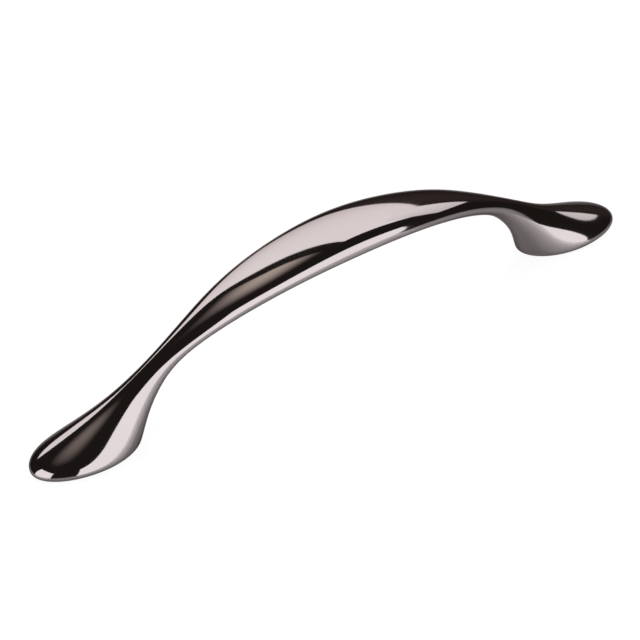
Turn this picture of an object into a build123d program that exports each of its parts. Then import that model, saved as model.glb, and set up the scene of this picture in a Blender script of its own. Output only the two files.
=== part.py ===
from build123d import *
import os

import numpy as np

os.makedirs("parts", exist_ok=True)

# Arch pull: one zinc die casting, fixed from behind by a screw in each foot.
# Origin: midway between the screws on the mounting plane.
# X runs along the pull, Z away from the drawer front.

# Driving dimensions, mm. Heights are above the mounting plane.
# Insets and reaches run along X from a screw, toward the middle and toward the tip.
hole_spacing = 96.0
projection = 24.0
grip_thickness = 5.7
grip_width = 12.2
neck_under_inset = 12.0
neck_under_height = 10.2
neck_top_inset = 8.7
neck_top_height = 12.5
neck_width = 4.4
ankle_under_inset = 7.4
ankle_under_height = 5.3
ankle_top_inset = 1.3
ankle_top_height = 8.4
ankle_width = 6.4
instep_under_inset = 5.5
instep_under_height = 1.3
instep_top_reach = 5.9
instep_top_height = 5.5
instep_width = 9.4
toe_under_inset = 5.2
toe_under_height = 0.55
toe_top_reach = 14.5
toe_top_height = 2.3
toe_width = 11.7
heel_inset = 4.8
tip_reach = 15.8
sole_width = 11.7
hole_diameter = 3.3
hole_depth = 6.0
hole_chamfer = 0.4
drill_point_angle = 118.0

# Two sections between the grip's middle and the neck, as shares of the way:
# place along X and fall, each for the underside and the top, and loss of width
flank_under_place = 0.44
flank_under_fall = 0.16
flank_top_place = 0.45
flank_top_fall = 0.215
flank_narrowing = 0.235
arm_under_place = 0.795
arm_under_fall = 0.545
arm_top_place = 0.735
arm_top_fall = 0.545
arm_narrowing = 0.705

# Where each section is widest, as a share of the way from its underside to its top
grip_widest = 0.36
flank_widest = 0.44
arm_widest = 0.46
neck_widest = 0.45
ankle_widest = 0.46
instep_widest = 0.50
toe_widest = 0.54
sole_widest = 0.46

# Loft sections between two master sections
section_steps = 4

screw_x = hole_spacing / 2
grip_underside = projection - grip_thickness
neck_under_x = screw_x - neck_under_inset
neck_top_x = screw_x - neck_top_inset


def toward_neck(under_place, under_fall, top_place, top_fall, narrowing):
    # Underside X and Z, top X and Z, and width, part of the way from the grip's middle to the neck
    return (
        under_place * neck_under_x,
        grip_underside + under_fall * (neck_under_height - grip_underside),
        top_place * neck_top_x,
        projection + top_fall * (neck_top_height - projection),
        grip_width + narrowing * (neck_width - grip_width),
    )


flank = toward_neck(
    flank_under_place, flank_under_fall, flank_top_place, flank_top_fall, flank_narrowing
)
arm = toward_neck(arm_under_place, arm_under_fall, arm_top_place, arm_top_fall, arm_narrowing)

# Master sections from the grip's middle to the sole.
# They fan out: upright across the grip, leaning at the neck, flat at the sole.
masters = np.array(
    [
        (0, grip_underside, 0, projection, grip_width, grip_widest),
        (*flank, flank_widest),
        (*arm, arm_widest),
        (neck_under_x, neck_under_height, neck_top_x, neck_top_height, neck_width, neck_widest),
        (
            screw_x - ankle_under_inset,
            ankle_under_height,
            screw_x - ankle_top_inset,
            ankle_top_height,
            ankle_width,
            ankle_widest,
        ),
        (
            screw_x - instep_under_inset,
            instep_under_height,
            screw_x + instep_top_reach,
            instep_top_height,
            instep_width,
            instep_widest,
        ),
        (
            screw_x - toe_under_inset,
            toe_under_height,
            screw_x + toe_top_reach,
            toe_top_height,
            toe_width,
            toe_widest,
        ),
        (screw_x - heel_inset, 0, screw_x + tip_reach, 0, sole_width, sole_widest),
    ]
)
mirror_signs = np.array([-1, 1, -1, 1, 1, 1])
masters = np.vstack([masters[:0:-1] * mirror_signs, masters])


def smooth_rows(rows, steps):
    # Natural cubic spline through equally spaced rows, with the given number of steps between two
    last = len(rows) - 1
    matrix = np.eye(last + 1)
    right = np.zeros_like(rows)
    for i in range(1, last):
        matrix[i, i - 1 : i + 2] = 1, 4, 1
        right[i] = 6 * (rows[i + 1] - 2 * rows[i] + rows[i - 1])
    bends = np.linalg.solve(matrix, right)
    at = np.linspace(0, last, last * steps + 1)
    i = np.minimum(at.astype(int), last - 1)
    far = (at - i)[:, None]
    near = 1 - far
    curve = (near**3 - near) * bends[i] / 6 + (far**3 - far) * bends[i + 1] / 6
    return near * rows[i] + far * rows[i + 1] + curve


def section(under_x, under_z, top_x, top_z, width, widest):
    # Two half ellipses that share their widest line.
    # They lie in the plane through the underside, the top and the Y direction.
    under = Vector(under_x, 0, under_z)
    rise = Vector(top_x, 0, top_z) - under
    plane = Plane(under + rise * widest, x_dir=(0, 1, 0), z_dir=Vector(0, 1, 0).cross(rise))
    upper = EllipticalCenterArc(
        (0, 0), width / 2, rise.length * (1 - widest), start_angle=0, arc_size=180
    )
    lower = EllipticalCenterArc(
        (0, 0), width / 2, rise.length * widest, start_angle=180, arc_size=180
    )
    return plane * make_face([upper, lower])


pull = loft([section(*row) for row in smooth_rows(masters, section_steps)])

# Blind tapped holes from behind, with a drill point and a broken edge
hole_radius = hole_diameter / 2
point_depth = hole_radius / np.tan(np.radians(drill_point_angle / 2))
drill = Pos(0, 0, hole_depth / 2) * Cylinder(hole_radius, hole_depth)
drill += Pos(0, 0, hole_depth + point_depth / 2) * Cone(hole_radius, 0, point_depth)
drill += Pos(0, 0, hole_chamfer / 2) * Cone(hole_radius + hole_chamfer, hole_radius, hole_chamfer)
for side in (-1, 1):
    pull -= Pos(side * screw_x, 0, 0) * drill

export_step(pull, "parts/arch_pull.step")
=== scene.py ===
import math

import bpy
import numpy as np
from mathutils import Matrix, Vector


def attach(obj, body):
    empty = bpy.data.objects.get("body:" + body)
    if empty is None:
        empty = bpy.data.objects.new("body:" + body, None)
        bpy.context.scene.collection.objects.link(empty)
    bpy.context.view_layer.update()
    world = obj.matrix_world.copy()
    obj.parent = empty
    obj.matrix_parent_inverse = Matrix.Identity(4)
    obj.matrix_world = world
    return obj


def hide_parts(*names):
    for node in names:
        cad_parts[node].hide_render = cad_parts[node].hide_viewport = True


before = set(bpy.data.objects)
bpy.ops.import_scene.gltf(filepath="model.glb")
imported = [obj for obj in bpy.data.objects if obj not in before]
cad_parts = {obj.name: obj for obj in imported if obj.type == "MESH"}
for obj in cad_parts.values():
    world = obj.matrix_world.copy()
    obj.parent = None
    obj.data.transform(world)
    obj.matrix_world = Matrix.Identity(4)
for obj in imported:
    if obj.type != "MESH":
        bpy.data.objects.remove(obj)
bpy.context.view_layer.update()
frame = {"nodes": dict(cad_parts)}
print("frame loaded:", ", ".join(frame["nodes"]))

mm = 0.001

# The pull: one die casting, black nickel plated, fixed from behind

pull = {
    "screwX": 48.0,        # mm from the middle to each screw
    "rimRadius": 0.25,     # broken edge where the skin meets the sole
    "rows": 420,           # grid rows from sole to sole
    "columns": 120,        # grid columns round the section
    "crowding": 0.42,      # how much closer the rows stand toward the soles
    "soleRings": 10,
    "sharpAngle": 40.0,    # degrees between faces from which an edge is shaded sharp
    # Master sections from the middle of the grip to the sole, mm:
    # underside x and z, top x and z, full width, where it is widest from underside to top
    "masters": [
        (0.0, 18.3, 0.0, 24.0, 12.2, 0.36),              # middle of the grip
        (15.84, 17.004, 17.685, 21.528, 10.367, 0.44),   # flank
        (28.62, 13.886, 28.886, 17.733, 6.701, 0.46),    # arm
        (36.0, 10.2, 39.3, 12.5, 4.4, 0.45),             # neck
        (40.55, 5.2, 47.0, 8.33, 6.25, 0.45),            # ankle
        (42.45, 1.33, 54.1, 5.4, 9.42, 0.485),           # instep
        (42.9, 0.2, 62.5, 2.05, 12.05, 0.54),            # toe
        (43.2, 0.0, 63.72, 0.0, 11.25, 0.465),           # sole
    ],
}

tapped = {
    "minorRadius": 1.65,   # mm, M4 coarse thread from behind
    "majorRadius": 2.0,
    "pitch": 0.7,
    "steepness": 1.25,     # of the thread's flanks: 1 is a plain V, more leaves flat crests and roots
    "depth": 6.0,
    "threadEnd": 5.2,
    "runout": 0.15,        # from the thread's end to the plain wall
    "chamfer": 0.4,
    "pointAngle": 118.0,   # degrees
    "stepsPerTurn": 9,
}


def naturalSpline(rows, at):
    # Natural cubic spline through equally spaced rows, read at the places given in rows
    last = len(rows) - 1
    matrix = np.eye(last + 1)
    inner = np.arange(1, last)
    matrix[inner, inner - 1] = 1
    matrix[inner, inner] = 4
    matrix[inner, inner + 1] = 1
    right = np.zeros_like(rows)
    right[1:-1] = 6 * (rows[2:] - 2 * rows[1:-1] + rows[:-2])
    bends = np.linalg.solve(matrix, right)
    i = np.minimum(at.astype(int), last - 1)
    far = (at - i)[:, None]
    near = 1 - far
    curve = (near**3 - near) * bends[i] / 6 + (far**3 - far) * bends[i + 1] / 6
    return near * rows[i] + far * rows[i + 1] + curve


def pullSkin(p):
    # Each section lies in the plane through its underside point U, its top point T and the Y direction.
    # It is two half ellipses that share their widest line: point = U + (T - U) * rise, where
    # rise = widest + (1 - widest above it, widest below it) * sin(angle), and y = width / 2 * cos(angle).
    # Near the sole a point moves in along the outline's normal by r - sqrt(r^2 - (r - z)^2), a rounded rim.
    masters = np.array(p["masters"])
    rows = np.vstack([masters[:0:-1] * (-1, 1, -1, 1, 1, 1), masters])
    half = len(masters) - 1
    s = np.linspace(-1, 1, p["rows"])
    at = half * (1 + (1 + p["crowding"]) * s - p["crowding"] * s**3)
    at = np.clip(at, 0, 2 * half)
    ux, uz, tx, tz, width, widest = naturalSpline(rows, at).T[:, :, None]
    angle = np.linspace(0, 2 * np.pi, p["columns"], endpoint=False)[None, :]
    share = np.where(np.sin(angle) >= 0, 1 - widest, widest)
    rise = widest + share * np.sin(angle)
    x = ux + (tx - ux) * rise
    y = width / 2 * np.cos(angle)
    z = np.maximum(uz + (tz - uz) * rise, 0)
    along = np.abs(tx - ux) * share
    nx = np.sin(angle) / along * np.sign(tx - ux)
    ny = np.cos(angle) / (width / 2)
    size = np.hypot(nx, ny)
    r = p["rimRadius"]
    low = np.clip(r - z, 0, r)
    inward = r - np.sqrt(r * r - low * low)
    return np.stack([x - inward * nx / size, y - inward * ny / size, z], -1)


def soleRings(p, outline, side, inner):
    # Flat rings at z = 0 between the outline and the hole's edge, straight from point to point:
    # ring = outline + (circle - outline) * share.
    # Each circle point stands at its outline point's angle round the hole.
    centre = np.array([side * p["screwX"], 0, 0])
    arm = outline - centre
    arm[:, 2] = 0
    circle = centre + arm / np.linalg.norm(arm, axis=1, keepdims=True) * inner
    share = np.linspace(0, 1, p["soleRings"] + 1)[1:, None, None]
    return outline + (circle - outline) * share


def tappedHole(p, t, outline, side):
    # Revolved wall: radius = the larger of the chamfer's cone and the thread.
    # The thread is a flattened ridge that climbs one pitch a turn and fades out at its end:
    # thread = minor + (major - minor) * ridge(z / pitch - angle / 2 pi) * fade.
    # A plain stretch and the drill's cone follow.
    centre = np.array([side * p["screwX"], 0, 0])
    arm = outline - centre
    angle = np.arctan2(arm[:, 1], arm[:, 0])[None, :]
    count = int(t["threadEnd"] / t["pitch"] * t["stepsPerTurn"])
    threaded = np.linspace(0, t["threadEnd"], count)[1:]
    z = np.concatenate([threaded, [t["threadEnd"] + t["runout"], t["depth"]]])[:, None]
    phase = (z / t["pitch"] - angle / (2 * np.pi)) % 1
    ridge = np.clip(t["steepness"] * np.abs(2 * phase - 1) - (t["steepness"] - 1) / 2, 0, 1)
    fade = np.clip((t["threadEnd"] - z) / t["pitch"], 0, 1)
    thread = t["minorRadius"] + (t["majorRadius"] - t["minorRadius"]) * ridge * fade
    cone = t["minorRadius"] + t["chamfer"] - z
    radius = np.maximum(thread, cone)
    x = centre[0] + radius * np.cos(angle)
    y = radius * np.sin(angle)
    point = t["depth"] + t["minorRadius"] / math.tan(math.radians(t["pointAngle"] / 2))
    tip = np.array([centre[0], 0, point])
    return np.stack([x, y, z + 0 * x], -1), tip


def stitch(rows, columns):
    # Quads between neighbouring rows of a grid that closes round its columns
    start = np.arange(rows - 1)[:, None] * columns
    a = start + np.arange(columns)[None, :]
    b = start + (np.arange(columns)[None, :] + 1) % columns
    return np.stack([a, b, b + columns, a + columns], -1).reshape(-1, 4)


def buildPull(p, t):
    skin = pullSkin(p)
    columns = p["columns"]
    edge = t["minorRadius"] + t["chamfer"]
    left = soleRings(p, skin[0], -1, edge)
    right = soleRings(p, skin[-1], 1, edge)
    leftHole, leftTip = tappedHole(p, t, left[-1], -1)
    rightHole, rightTip = tappedHole(p, t, right[-1], 1)
    # one grid from the left drill point over the skin to the right one
    stack = [leftHole[::-1], left[::-1], skin, right, rightHole]
    points = np.concatenate([part.reshape(-1, 3) for part in stack])
    rows = sum(len(part) for part in stack)
    quads = stitch(rows, columns)
    ends = len(points)
    points = np.vstack([points, leftTip, rightTip]) * mm
    ring = np.arange(columns)
    following = (ring + 1) % columns
    lastRow = (rows - 1) * columns
    leftFan = np.stack([following, ring, np.full(columns, ends)], -1)
    rightFan = np.stack([lastRow + ring, lastRow + following, np.full(columns, ends + 1)], -1)
    mesh = bpy.data.meshes.new("pull")
    mesh.from_pydata(points, [], quads.tolist() + leftFan.tolist() + rightFan.tolist())
    # satin on the soles and in the holes, polished skin between them
    skinStart = len(leftHole) + len(left)
    band = np.repeat(np.arange(rows - 1), columns)
    isSatin = (band < skinStart) | (band >= skinStart + len(skin) - 1)
    index = np.concatenate([isSatin, np.ones(2 * columns, bool)]).astype(np.int32)
    mesh.polygons.foreach_set("material_index", index)
    mesh.polygons.foreach_set("use_smooth", np.ones(len(index), bool))
    mesh.update()
    mesh.set_sharp_from_angle(angle=math.radians(p["sharpAngle"]))
    piece = bpy.data.objects.new("pull", mesh)
    bpy.context.collection.objects.link(piece)
    return piece


# Finishes: scales per metre, depths in metres

polishedNickel = {
    "deeper": (0.31, 0.278, 0.277),
    "colour": (0.325, 0.293, 0.293),
    "edgeTint": (0.35, 0.33, 0.33),
    "roughness": (0.045, 0.075),
    "patchScale": 55.0,    # slow change of the plating along the pull
    "grainScale": 260.0,   # faint polishing waves
    "grainDepth": 0.0000012,
}

satinNickel = {
    "deeper": (0.24, 0.22, 0.22),
    "colour": (0.30, 0.275, 0.275),
    "edgeTint": (0.6, 0.58, 0.58),
    "roughness": (0.28, 0.42),
    "patchScale": 325.0,
    "grainScale": 2600.0,
    "grainDepth": 0.00001,
}

# Noise for both: detail of the patches and the grain, and the span of values that a patch runs through
plating = {"patchDetail": 3.0, "grainDetail": 2.0, "span": (0.3, 0.7)}


def addNode(tree, kind, **values):
    node = tree.nodes.new(kind)
    for name, value in values.items():
        setattr(node, name, value)
    return node


def remap(tree, value, span, result, kind="LINEAR"):
    node = addNode(tree, "ShaderNodeMapRange", interpolation_type=kind)
    node.inputs["From Min"].default_value = span[0]
    node.inputs["From Max"].default_value = span[1]
    node.inputs["To Min"].default_value = result[0]
    node.inputs["To Max"].default_value = result[1]
    tree.links.new(value, node.inputs["Value"])
    return node.outputs["Result"]


def addNoise(tree, place, scale, detail):
    noise = addNode(tree, "ShaderNodeTexNoise")
    noise.inputs["Scale"].default_value = scale
    noise.inputs["Detail"].default_value = detail
    tree.links.new(place.outputs["Object"], noise.inputs["Vector"])
    return noise.outputs["Fac"]


def platedMaterial(name, finish):
    material = bpy.data.materials.new(name)
    material.use_nodes = True
    tree = material.node_tree
    shader = tree.nodes["Principled BSDF"]
    shader.inputs["Metallic"].default_value = 1.0
    shader.inputs["Specular Tint"].default_value = (*finish["edgeTint"], 1)
    place = addNode(tree, "ShaderNodeTexCoord")
    patch = addNoise(tree, place, finish["patchScale"], plating["patchDetail"])
    tint = addNode(tree, "ShaderNodeValToRGB")
    colours = (finish["deeper"], finish["colour"])
    for stop, at, colour in zip(tint.color_ramp.elements, plating["span"], colours):
        stop.position = at
        stop.color = (*colour, 1)
    tree.links.new(patch, tint.inputs["Fac"])
    tree.links.new(tint.outputs["Color"], shader.inputs["Base Color"])
    haze = remap(tree, patch, plating["span"], finish["roughness"])
    tree.links.new(haze, shader.inputs["Roughness"])
    bump = addNode(tree, "ShaderNodeBump")
    bump.inputs["Strength"].default_value = 1.0
    bump.inputs["Distance"].default_value = finish["grainDepth"]
    grain = addNoise(tree, place, finish["grainScale"], plating["grainDetail"])
    tree.links.new(grain, bump.inputs["Height"])
    tree.links.new(bump.outputs["Normal"], shader.inputs["Normal"])
    return material


piece = buildPull(pull, tapped)
piece.data.materials.append(platedMaterial("polishedBlackNickel", polishedNickel))
piece.data.materials.append(platedMaterial("satinBlackNickel", satinNickel))
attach(piece, "root")
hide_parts("arch_pull")
print("pull built:", len(piece.data.polygons), "faces")

# Studio: glossy white table in a dark room, softbox with a wing, two white cards, lit ceiling

table = {
    "size": 6.0,           # metres
    "drop": 0.00002,       # below the soles
    "colour": (0.75, 0.75, 0.75),
    "farColour": (0.05, 0.047, 0.045),
    "roughness": 0.06,     # glossy acrylic
    "ior": 1.38,
    "whiteNear": 1.09,     # strength of the white that the camera sees round the pull
    "whiteFar": 1.22,
    "whiteInMetal": 0.8,   # and of the white that the metal shows
    "fadeFrom": 0.10,      # metres from the middle
    "fadeTo": 0.26,
    "cameraShare": 0.84,   # the rest is lit by the lamps and holds the shadow
    "metalShare": 0.08,
}

gridSteps = 4              # of every flat stage panel, each way


def flatGrid(name, centre, across, upward, steps):
    # point = centre + across * u + upward * v, both from -1 to 1
    u, v = np.meshgrid(np.linspace(-1, 1, steps + 1), np.linspace(-1, 1, steps + 1))
    points = centre + u[..., None] * np.array(across) + v[..., None] * np.array(upward)
    a = (np.arange(steps)[:, None] * (steps + 1) + np.arange(steps)[None, :]).reshape(-1)
    quads = np.stack([a, a + 1, a + steps + 2, a + steps + 1], -1)
    mesh = bpy.data.meshes.new(name)
    mesh.from_pydata(points.reshape(-1, 3), [], quads.tolist())
    mesh.update()
    plane = bpy.data.objects.new(name, mesh)
    bpy.context.collection.objects.link(plane)
    return plane


def anyRay(tree, names):
    # 1 where the ray is of one of the kinds named
    path = addNode(tree, "ShaderNodeLightPath")
    out = path.outputs[names[0]]
    for name in names[1:]:
        either = addNode(tree, "ShaderNodeMath", operation="MAXIMUM")
        tree.links.new(out, either.inputs[0])
        tree.links.new(path.outputs[name], either.inputs[1])
        out = either.outputs[0]
    return out


def mixByRay(tree, names, share, lit, seen):
    # The lit surface, with a share of the one seen by rays of the kinds named
    part = addNode(tree, "ShaderNodeMath", operation="MULTIPLY")
    part.inputs[1].default_value = share
    tree.links.new(anyRay(tree, names), part.inputs[0])
    both = addNode(tree, "ShaderNodeMixShader")
    tree.links.new(part.outputs[0], both.inputs["Fac"])
    tree.links.new(lit, both.inputs[1])
    tree.links.new(seen, both.inputs[2])
    return both.outputs["Shader"]


def fadingWhite(tree, reach, span, near, far):
    # White light whose strength changes with the distance from the middle
    white = addNode(tree, "ShaderNodeEmission")
    tree.links.new(remap(tree, reach, span, (near, far), "SMOOTHSTEP"), white.inputs["Strength"])
    return white.outputs["Emission"]


def buildTable(t):
    half = t["size"] / 2
    plane = flatGrid("table", (0, 0, -t["drop"]), (half, 0, 0), (0, half, 0), gridSteps)
    material = bpy.data.materials.new("whiteTable")
    material.use_nodes = True
    tree = material.node_tree
    shader = tree.nodes["Principled BSDF"]
    shader.inputs["Roughness"].default_value = t["roughness"]
    shader.inputs["IOR"].default_value = t["ior"]
    place = addNode(tree, "ShaderNodeTexCoord")
    distance = addNode(tree, "ShaderNodeVectorMath", operation="LENGTH")
    tree.links.new(place.outputs["Object"], distance.inputs[0])
    reach = distance.outputs["Value"]
    span = (t["fadeFrom"], t["fadeTo"])
    paint = addNode(tree, "ShaderNodeValToRGB")
    paint.color_ramp.elements[0].color = (*t["colour"], 1)
    paint.color_ramp.elements[1].color = (*t["farColour"], 1)
    tree.links.new(remap(tree, reach, span, (0, 1), "SMOOTHSTEP"), paint.inputs["Fac"])
    tree.links.new(paint.outputs["Color"], shader.inputs["Base Color"])
    inMetal = fadingWhite(tree, reach, span, t["whiteInMetal"], 0)
    toCamera = fadingWhite(tree, reach, span, t["whiteNear"], t["whiteFar"])
    surface = shader.outputs["BSDF"]
    surface = mixByRay(tree, ["Is Glossy Ray", "Is Transmission Ray"], t["metalShare"], surface, inMetal)
    surface = mixByRay(tree, ["Is Camera Ray"], t["cameraShare"], surface, toCamera)
    tree.links.new(surface, tree.nodes["Material Output"].inputs["Surface"])
    plane.data.materials.append(material)


# Panels: bearing from +Y toward +X and height in degrees, turned, swung and leaned in degrees,
# distance and half sizes in metres

lamps = {
    "softbox": {
        "bearing": 63.9, "height": 47.4, "distance": 0.572, "turn": 8.1, "swing": -32.9, "lean": 6.8,
        "halfWide": 0.518, "halfHigh": 0.205, "radiance": 2.15, "colour": (1.0, 0.985, 0.985),
    },
    "frontCard": {
        "bearing": 165.0, "height": 13.9, "distance": 0.2255, "turn": 16.05, "swing": 3.9, "lean": 1.3,
        "halfWide": 0.1442, "halfHigh": 0.1174, "radiance": 2.4, "colour": (0.975, 0.975, 1.0),
    },
    "leftCard": {
        "bearing": -90.6, "height": 31.4, "distance": 0.3715, "turn": -11.6, "swing": 16.4, "lean": -26.1,
        "halfWide": 0.1766, "halfHigh": 0.219, "radiance": 2.4, "colour": (0.975, 0.975, 1.0),
    },
}


def bearing(azimuth, height):
    a = math.radians(azimuth)
    h = math.radians(height)
    return Vector((math.sin(a) * math.cos(h), math.cos(a) * math.cos(h), math.sin(h)))


def panelFrame(p):
    # Centre of a flat panel, and the directions along its width, down its height and away from the pull
    away = bearing(p["bearing"], p["height"])
    level = Vector((away.y, -away.x, 0)).normalized()
    rising = level.cross(away)
    if rising.z < 0:
        rising = -rising
    swing = math.tan(math.radians(p["swing"]))
    lean = math.tan(math.radians(p["lean"]))
    facing = (away + swing * level + lean * rising).normalized()
    turn = math.radians(p["turn"])
    wide = level * math.cos(turn) + rising * math.sin(turn)
    wide = (wide - wide.dot(facing) * facing).normalized()
    return away * p["distance"], wide, facing.cross(wide), facing


def buildLamp(name, lamp):
    data = bpy.data.lights.new(name, "AREA")
    data.shape = "RECTANGLE"
    data.size = 2 * lamp["halfWide"]
    data.size_y = 2 * lamp["halfHigh"]
    # a flat lamp of radiance L sends out pi * L * area watts
    data.energy = math.pi * lamp["radiance"] * data.size * data.size_y
    data.color = lamp["colour"]
    centre, wide, high, facing = panelFrame(lamp)
    lampObject = bpy.data.objects.new(name, data)
    place = Matrix((wide, high, facing)).transposed().to_4x4()
    place.translation = centre
    lampObject.matrix_world = place
    lampObject.visible_camera = False
    bpy.context.collection.objects.link(lampObject)


def glowingPanel(plane, name, colour):
    # Turns a flat panel into a light on the stage, and gives its nodes and the strength that they set
    material = bpy.data.materials.new(name)
    material.use_nodes = True
    tree = material.node_tree
    glow = addNode(tree, "ShaderNodeEmission")
    glow.inputs["Color"].default_value = (*colour, 1)
    tree.links.new(glow.outputs["Emission"], tree.nodes["Material Output"].inputs["Surface"])
    plane.visible_camera = False
    plane.data.materials.append(material)
    return tree, glow.inputs["Strength"]


wing = {
    "bearing": 86.5, "height": 32.9, "distance": 0.3414, "turn": 26.9, "swing": -7.8, "lean": -19.5,
    "halfWide": 0.072, "halfHigh": 0.0725, "radiance": 1.6, "radianceInside": 2.1,
    "colour": (1.0, 0.985, 0.985),
    "fallFrom": -0.8,      # in half sizes, across and down from the middle
    "fallTo": 1.2,
}


def buildWing(w):
    # Full radiance along the softbox, less toward the outer corner
    centre, wide, high, _ = panelFrame(w)
    across = wide * w["halfWide"]
    down = high * w["halfHigh"]
    plane = flatGrid("softboxWing", np.array(centre), across, down, gridSteps)
    tree, strength = glowingPanel(plane, "softboxCloth", w["colour"])
    diagonal = wide / w["halfWide"] + high / w["halfHigh"]
    place = addNode(tree, "ShaderNodeTexCoord")
    outward = addNode(tree, "ShaderNodeVectorMath", operation="DOT_PRODUCT")
    outward.inputs[1].default_value = diagonal
    tree.links.new(place.outputs["Object"], outward.inputs[0])
    middle = centre.dot(diagonal)
    span = (middle + w["fallFrom"], middle + w["fallTo"])
    fall = remap(tree, outward.outputs["Value"], span, (w["radianceInside"], w["radiance"]))
    tree.links.new(fall, strength)


ceiling = {
    "middle": (0.154, 0.175, 0.8),     # of its straight edge, metres
    "turn": -24.0,                     # of that edge, degrees from +Y toward +X
    "radius": 0.44,
    "radiance": 1.15,
    "radianceFar": 0.03,
    "colour": (1.0, 0.865, 0.787),
}


def buildCeiling(c):
    # Strongest at the middle of its edge, falling smoothly to the radius
    turn = math.radians(c["turn"])
    along = Vector((math.sin(turn), math.cos(turn), 0)) * c["radius"]
    inward = Vector((-math.cos(turn), math.sin(turn), 0)) * c["radius"] / 2
    middle = Vector(c["middle"])
    plane = flatGrid("ceiling", np.array(middle + inward), along, inward, gridSteps)
    tree, strength = glowingPanel(plane, "litCeiling", c["colour"])
    place = addNode(tree, "ShaderNodeTexCoord")
    distance = addNode(tree, "ShaderNodeVectorMath", operation="DISTANCE")
    distance.inputs[1].default_value = middle
    tree.links.new(place.outputs["Object"], distance.inputs[0])
    levels = (c["radiance"], c["radianceFar"])
    fall = remap(tree, distance.outputs["Value"], (0, c["radius"]), levels, "SMOOTHSTEP")
    tree.links.new(fall, strength)


view = {
    "azimuth": -41.409,    # degrees
    "elevation": 33.837,
    "roll": 1.541,
    "distance": 636.63,    # mm
    "aimHeight": 10.972,
    "right": -2.877,
    "up": -6.011,
    "focal": 3792.13,      # in pixels of a picture this wide
    "pictureWidth": 640,
    "sensorWidth": 36,     # mm
    "clipEnd": 20,         # metres
}


def buildCamera(v):
    a = math.radians(v["azimuth"])
    e = math.radians(v["elevation"])
    r = math.radians(v["roll"])
    back = Vector((math.sin(a) * math.cos(e), -math.cos(a) * math.cos(e), math.sin(e)))
    level = Vector((math.cos(a), math.sin(a), 0))
    upright = back.cross(level)
    right = math.cos(r) * level + math.sin(r) * upright
    up = -math.sin(r) * level + math.cos(r) * upright
    target = Vector((0, 0, v["aimHeight"])) + v["right"] * right + v["up"] * up
    data = bpy.data.cameras.new("camera")
    data.sensor_width = v["sensorWidth"]
    data.lens = v["focal"] / v["pictureWidth"] * v["sensorWidth"]
    data.clip_end = v["clipEnd"]
    camera = bpy.data.objects.new("camera", data)
    place = Matrix((right, up, back)).transposed().to_4x4()
    place.translation = (target + v["distance"] * back) * mm
    camera.matrix_world = place
    bpy.context.collection.objects.link(camera)
    bpy.context.scene.camera = camera


room = {
    "dark": (0.030, 0.026, 0.0225),
    # a dim wall behind on the right
    "wallBearing": 47.0,   # degrees
    "wallHeight": 5.0,
    "wallSpread": 40.0,
    "wallColour": (0.075, 0.055, 0.052),
}


def buildRoom(r):
    # Dark room with a wall whose light falls smoothly with the angle from its middle.
    # The camera sees white.
    world = bpy.data.worlds.new("room")
    world.use_nodes = True
    tree = world.node_tree
    dim = tree.nodes["Background"]
    place = addNode(tree, "ShaderNodeTexCoord")
    facing = addNode(tree, "ShaderNodeVectorMath", operation="DOT_PRODUCT")
    facing.inputs[1].default_value = bearing(r["wallBearing"], r["wallHeight"])
    tree.links.new(place.outputs["Generated"], facing.inputs[0])
    span = (math.cos(math.radians(r["wallSpread"])), 1)
    share = remap(tree, facing.outputs["Value"], span, (0, 1), "SMOOTHSTEP")
    light = addNode(tree, "ShaderNodeVectorMath", operation="MULTIPLY_ADD")
    light.inputs[0].default_value = r["wallColour"]
    light.inputs[2].default_value = r["dark"]
    tree.links.new(share, light.inputs[1])
    tree.links.new(light.outputs["Vector"], dim.inputs["Color"])
    white = addNode(tree, "ShaderNodeBackground")
    white.inputs["Color"].default_value = (1, 1, 1, 1)
    surface = mixByRay(tree, ["Is Camera Ray"], 1.0, dim.outputs["Background"], white.outputs["Background"])
    tree.links.new(surface, tree.nodes["World Output"].inputs["Surface"])
    return world


buildTable(table)
for lampName, lamp in lamps.items():
    buildLamp(lampName, lamp)
buildWing(wing)
buildCeiling(ceiling)
buildCamera(view)
bpy.context.scene.world = buildRoom(room)
bpy.context.scene.view_settings.view_transform = "Standard"
print("studio built:", ", ".join(lamps))
